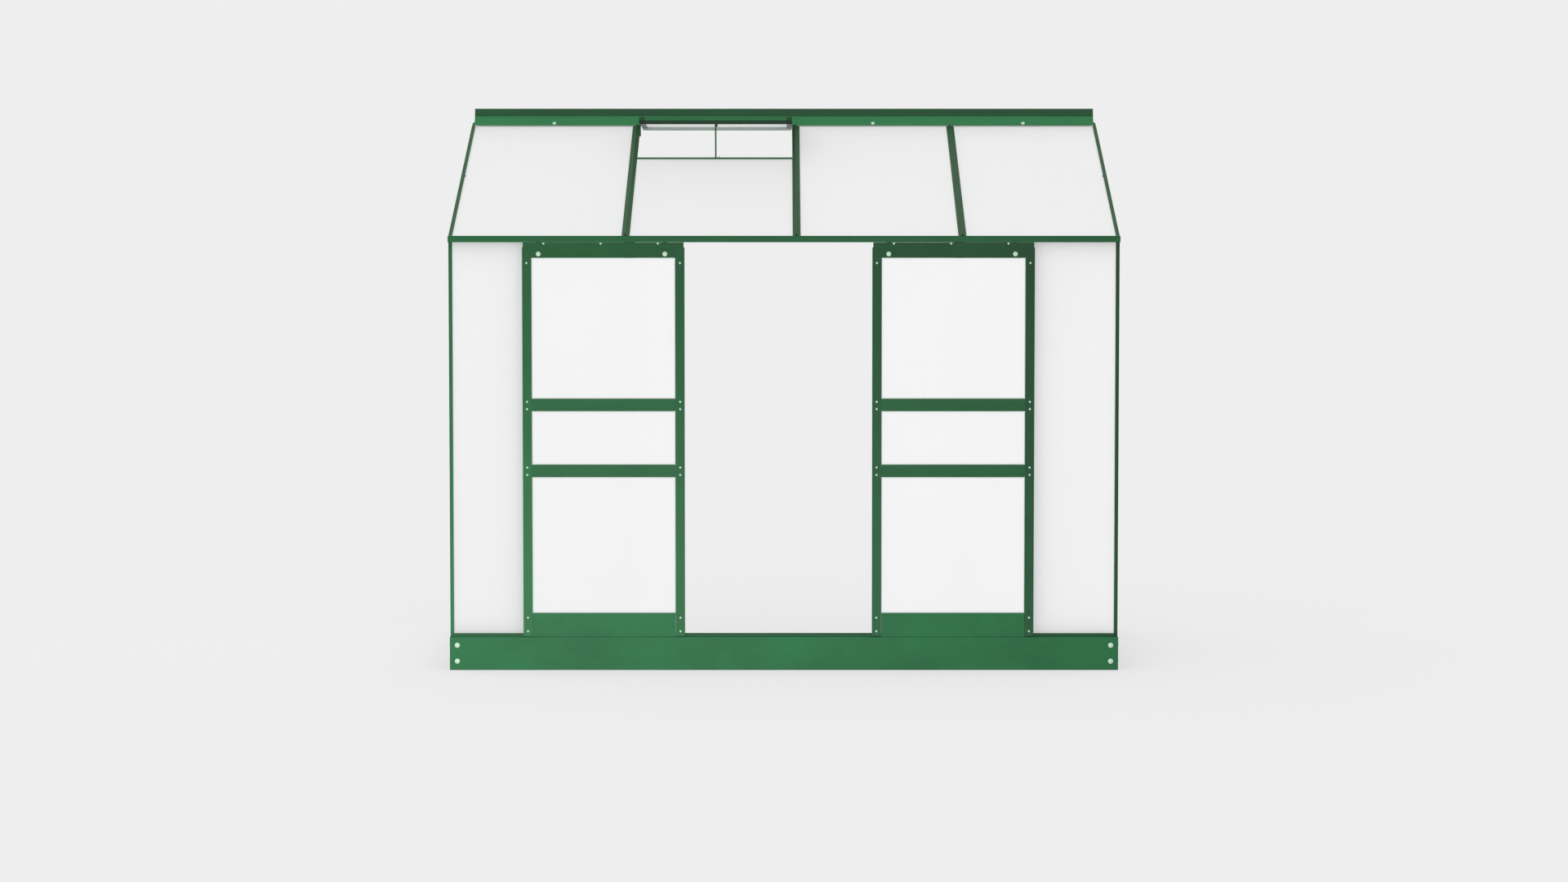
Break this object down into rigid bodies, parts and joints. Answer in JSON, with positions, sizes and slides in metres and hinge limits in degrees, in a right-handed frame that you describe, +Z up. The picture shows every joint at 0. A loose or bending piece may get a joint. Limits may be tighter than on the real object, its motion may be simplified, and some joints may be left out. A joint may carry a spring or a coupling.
{
  "type": "lean-to greenhouse",
  "caption": "Lean-to greenhouse on a steel base: coated aluminium bars, frosted panes, top-hung sliding doors on rollers, and a raised roof vent with a notched stay.",
  "frame": {"origin": "ground level, in the middle of the overall footprint", "axes": "+X along the wall, to the right as seen from the front; +Y from the doors towards the wall; +Z up"},
  "size_m": [2.558, 1.314, 2.1497],
  "materials": {
    "coated_aluminium": "satin",
    "coated_steel": "satin",
    "dark_steel": "satin",
    "frosted_glass": "matte",
    "zinc": "satin",
    "nylon": "matte"
  },
  "bodies": {
    "frame": {"base_front": "coated_steel", "base_left": "coated_steel", "base_right": "coated_steel", "base_brackets": "dark_steel", "base_bolts": "zinc", "sill_front": "coated_aluminium", "sill_left": "coated_aluminium", "sill_right": "coated_aluminium", "corner_post_left": "coated_aluminium", "corner_post_right": "coated_aluminium", "wall_post_left": "coated_aluminium", "wall_post_right": "coated_aluminium", "door_jamb_left": "coated_aluminium", "door_jamb_right": "coated_aluminium", "gable_bar_left": "coated_aluminium", "gable_bar_right": "coated_aluminium", "eaves_rail": "coated_aluminium", "door_track": "coated_aluminium", "track_stops": "nylon", "wall_plate": "coated_aluminium", "verge_left": "coated_aluminium", "verge_right": "coated_aluminium", "roof_bar_1": "coated_aluminium", "roof_bar_2": "coated_aluminium", "roof_bar_3": "coated_aluminium", "vent_sill": "coated_aluminium", "corner_gussets": "dark_steel", "frame_bolts": "zinc", "inner_rail": "coated_aluminium", "roof_pane_1": "frosted_glass", "roof_pane_2": "frosted_glass", "roof_pane_3": "frosted_glass", "roof_pane_4": "frosted_glass", "front_pane_left": "frosted_glass", "front_pane_right": "frosted_glass", "gable_panes": "frosted_glass"},
    "left_door": {"left_door_stiles": "coated_aluminium", "left_door_top_rail": "coated_aluminium", "left_door_cross_rails": "coated_aluminium", "left_door_kick_panel": "coated_aluminium", "left_door_panes": "frosted_glass", "left_door_screws": "zinc", "left_door_hangers": "zinc", "left_door_glides": "nylon"},
    "left_wheel_outer": {"left_wheel_outer": "nylon"},
    "left_wheel_inner": {"left_wheel_inner": "nylon"},
    "right_door": {"right_door_stiles": "coated_aluminium", "right_door_top_rail": "coated_aluminium", "right_door_cross_rails": "coated_aluminium", "right_door_kick_panel": "coated_aluminium", "right_door_panes": "frosted_glass", "right_door_screws": "zinc", "right_door_hangers": "zinc", "right_door_glides": "nylon"},
    "right_wheel_inner": {"right_wheel_inner": "nylon"},
    "right_wheel_outer": {"right_wheel_outer": "nylon"},
    "vent": {"vent_frame": "coated_aluminium", "vent_hinge_rail": "coated_aluminium", "vent_pane": "frosted_glass"},
    "vent_stay": {"vent_stay": "coated_aluminium"}
  },
  "joints": [
    {"name": "left_door_slide", "type": "slide", "parent": "frame", "child": "left_door", "axis": [-1, 0, 0], "range_m": [-0.416, 0.258]},
    {"name": "right_door_slide", "type": "slide", "parent": "frame", "child": "right_door", "axis": [1, 0, 0], "range_m": [-0.2938, 0.3]},
    {"name": "left_wheel_outer_spin", "type": "hinge", "parent": "left_door", "child": "left_wheel_outer", "pos_m": [-0.9315, -0.6458, 1.6418], "axis": [0, 1, 0], "range_deg": [-3200, 3200]},
    {"name": "left_wheel_inner_spin", "type": "hinge", "parent": "left_door", "child": "left_wheel_inner", "pos_m": [-0.4515, -0.6458, 1.6418], "axis": [0, 1, 0], "range_deg": [-3200, 3200]},
    {"name": "right_wheel_inner_spin", "type": "hinge", "parent": "right_door", "child": "right_wheel_inner", "pos_m": [0.3973, -0.6458, 1.6418], "axis": [0, 1, 0], "range_deg": [-3200, 3200]},
    {"name": "right_wheel_outer_spin", "type": "hinge", "parent": "right_door", "child": "right_wheel_outer", "pos_m": [0.8773, -0.6458, 1.6418], "axis": [0, 1, 0], "range_deg": [-3200, 3200]},
    {"name": "vent_tilt", "type": "hinge", "parent": "frame", "child": "vent", "pos_m": [-0.273, 0.59198, 2.06732], "axis": [-1, 0, 0], "range_deg": [-19.8, 8]},
    {"name": "stay_swing", "type": "hinge", "parent": "vent", "child": "vent_stay", "pos_m": [-0.273, 0.23011, 2.07774], "axis": [-1, 0, 0], "range_deg": [-10, 23]}
  ],
  "couplings": [
    {"joint": "left_wheel_outer_spin", "follows": "left_door_slide", "rad_per_m": -125},
    {"joint": "left_wheel_inner_spin", "follows": "left_door_slide", "rad_per_m": -125},
    {"joint": "right_wheel_inner_spin", "follows": "right_door_slide", "rad_per_m": 125},
    {"joint": "right_wheel_outer_spin", "follows": "right_door_slide", "rad_per_m": 125},
    {"joint": "stay_swing", "follows": "vent_tilt", "ratio": -1}
  ]
}
